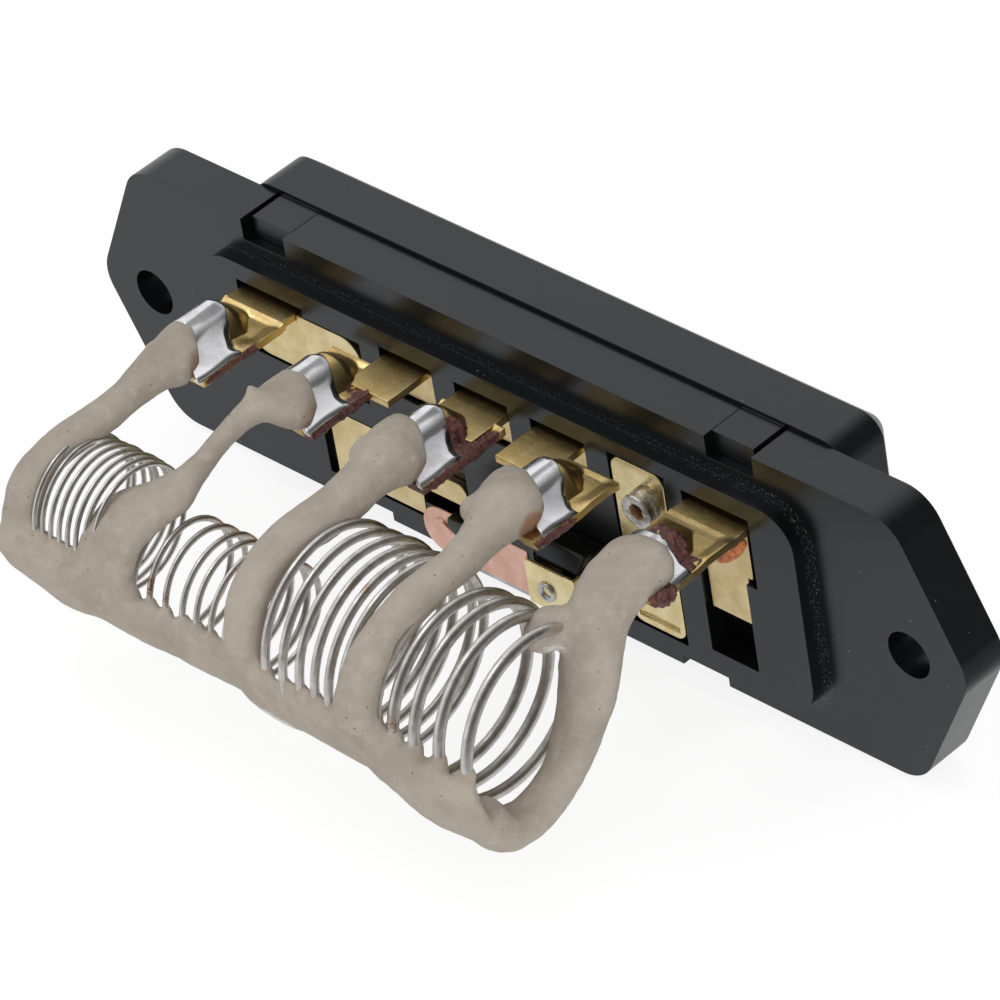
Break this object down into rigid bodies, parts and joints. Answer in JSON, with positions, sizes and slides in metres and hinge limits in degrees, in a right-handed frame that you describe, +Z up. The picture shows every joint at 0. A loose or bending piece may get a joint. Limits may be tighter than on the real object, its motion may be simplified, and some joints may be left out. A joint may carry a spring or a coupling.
{
  "type": "blower motor resistor",
  "caption": "Blower fan speed resistor: wire coils held in cement on brass tabs, in front of a black plastic flange with a plug socket behind it.",
  "frame": {"origin": "midway between the centres of the two mounting holes, on the front face of the flange, which lies against the air duct", "axes": "+X along the flange, +Y back towards the plug, so the coils point to -Y, +Z up, towards the edge that the tabs are nearer to"},
  "size_m": [0.108, 0.0479, 0.03],
  "materials": {
    "black_plastic": "satin black moulded plastic",
    "brass": "bare brass strip, heat-stained near the tabs",
    "solder": "bright tin solder, wrinkled",
    "resistance_wire": "bare drawn resistance wire, satin",
    "cement": "fired grey-beige cement, matt and slightly speckled",
    "copper": "bare copper strip, pink",
    "spring_steel": "bare spring steel strip",
    "black_block": "black phenolic, smooth"
  },
  "bodies": {
    "root": {"flange_plate": "black_plastic", "rear_housing": "black_plastic", "terminal_1": "brass", "terminal_2": "brass", "terminal_3": "brass", "terminal_4": "brass", "terminal_5": "brass", "solder_1": "solder", "solder_2": "solder", "solder_3": "solder", "solder_4": "solder", "solder_5": "solder", "coil_1": "resistance_wire", "coil_2": "resistance_wire", "coil_3": "resistance_wire", "coil_4": "resistance_wire", "cement_coating": "cement", "link_plate_upper": "brass", "link_plate_lower": "brass", "rivet_plate": "brass", "hollow_rivet": "solder", "cutout_block": "black_block", "steel_leaf": "spring_steel", "copper_leaf": "copper", "eyelet_plate": "brass", "eyelet": "spring_steel", "contact_button": "black_block"}
  },
  "joints": []
}
